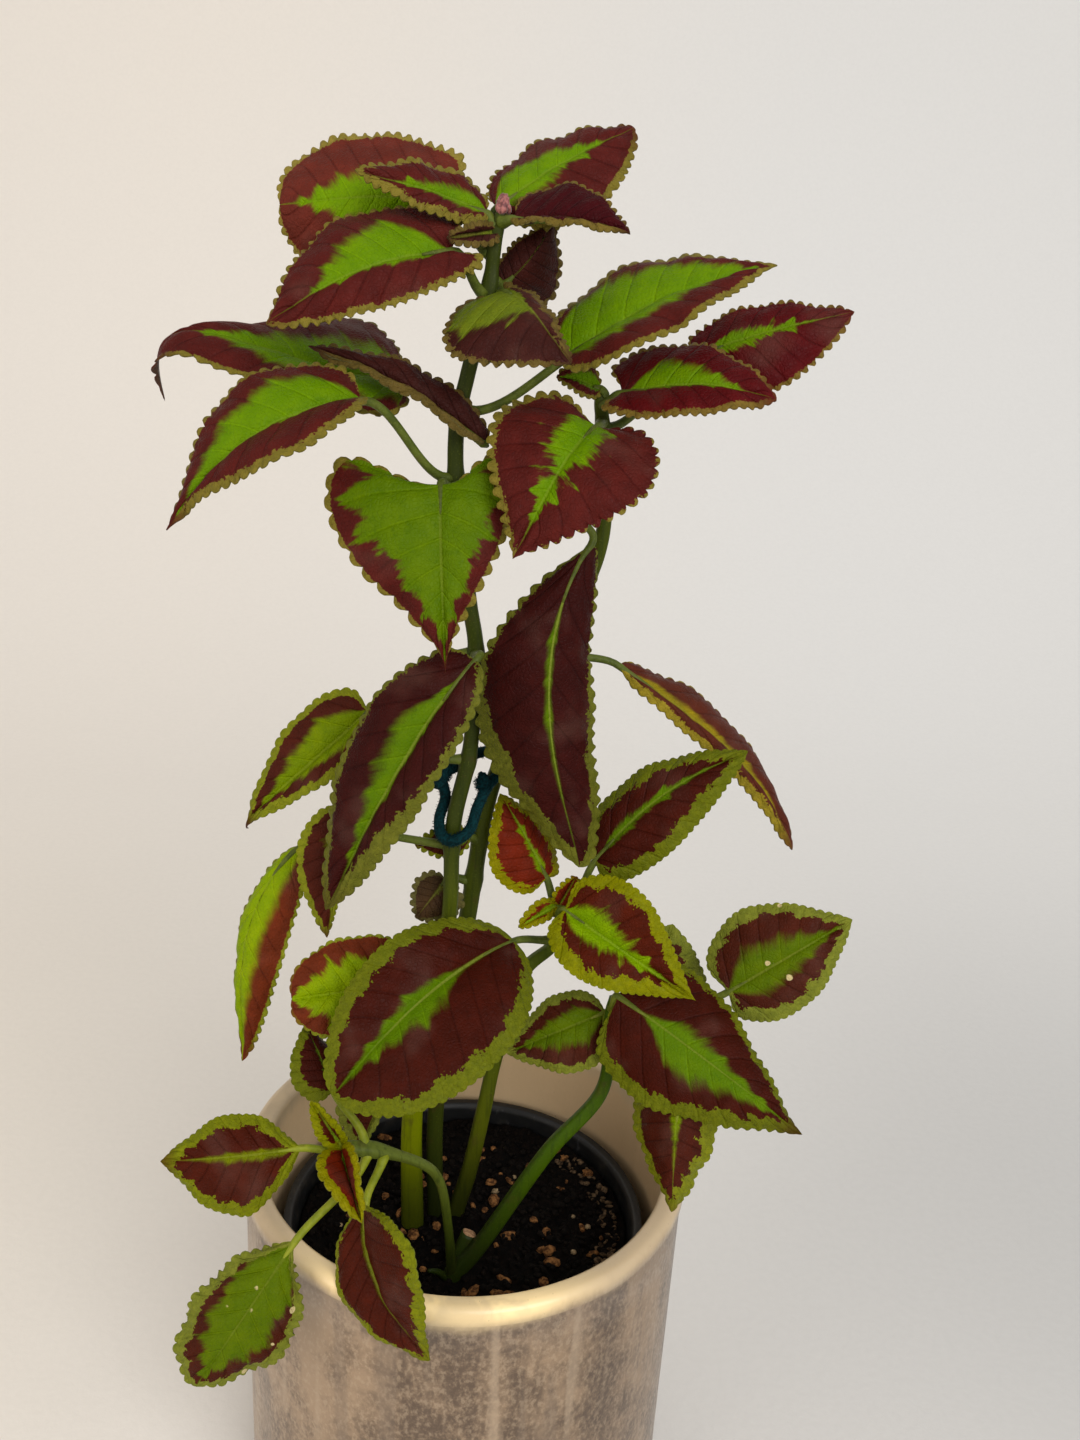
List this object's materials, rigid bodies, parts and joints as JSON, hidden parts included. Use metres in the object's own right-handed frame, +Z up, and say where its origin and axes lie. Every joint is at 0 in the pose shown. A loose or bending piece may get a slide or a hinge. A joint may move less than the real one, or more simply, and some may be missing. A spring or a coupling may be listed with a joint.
{
  "type": "potted coleus plant",
  "caption": "Upright coleus with toothed two-colour leaves on tall thin stems, in a nursery pot of soil that stands inside a cylindrical glazed ceramic pot.",
  "frame": {"origin": "middle of the outer pot's flat bottom", "axes": "+Z up along the pot's axis, -Y towards the side that the plant is seen from, +X to the right of that view"},
  "size_m": [0.1853, 0.1401, 0.4088],
  "materials": {
    "pot_glaze": "gloss",
    "nursery_plastic": "satin",
    "peat": "matte",
    "stem": "satin",
    "leaf_green": "satin",
    "leaf_dark": "satin",
    "tie": "matte"
  },
  "bodies": {
    "root": {"outer_pot": "pot_glaze", "nursery_pot": "nursery_plastic", "soil": "peat", "stem_tall": "stem", "stem_mate": "stem", "stem_middle": "stem", "stem_front": "stem", "plant_tie": "tie", "leaf_top_back_left": "leaf_green", "leaf_top_small_left": "leaf_green", "leaf_top_front_left": "leaf_green", "leaf_top_back_right": "leaf_green", "leaf_top_small_right": "leaf_green", "leaf_heart_small": "leaf_dark", "leaf_behind_heart": "leaf_dark", "leaf_upper_right_big": "leaf_green", "leaf_far_right": "leaf_dark", "leaf_red_right": "leaf_dark", "leaf_heart_dark_front": "leaf_dark", "leaf_mate_tip": "leaf_green", "leaf_upper_left": "leaf_green", "leaf_left_long": "leaf_green", "leaf_edge_on": "leaf_dark", "leaf_heart_green": "leaf_green", "leaf_dark_hanging": "leaf_dark", "leaf_left_dark_big": "leaf_dark", "leaf_left_back": "leaf_green", "leaf_left_drooping": "leaf_green", "leaf_left_low_narrow": "leaf_green", "leaf_right_drooping": "leaf_green", "leaf_crown_right": "leaf_green", "leaf_crown_left": "leaf_green", "leaf_crown_front": "leaf_green", "leaf_lower_front_big": "leaf_dark", "leaf_bright_puckered": "leaf_green", "leaf_low_back_left": "leaf_dark", "leaf_low_middle_pale": "leaf_green", "leaf_low_right_big": "leaf_dark", "leaf_low_far_right": "leaf_green", "leaf_low_behind": "leaf_green", "leaf_low_hanging_right": "leaf_green", "leaf_rim_left": "leaf_green", "leaf_rim_left_hanging": "leaf_green", "leaf_rim_front_hanging": "leaf_green", "leaf_low_behind_left": "leaf_green", "leaf_old_small": "leaf_green", "leaf_old_curled": "leaf_green"}
  },
  "joints": []
}
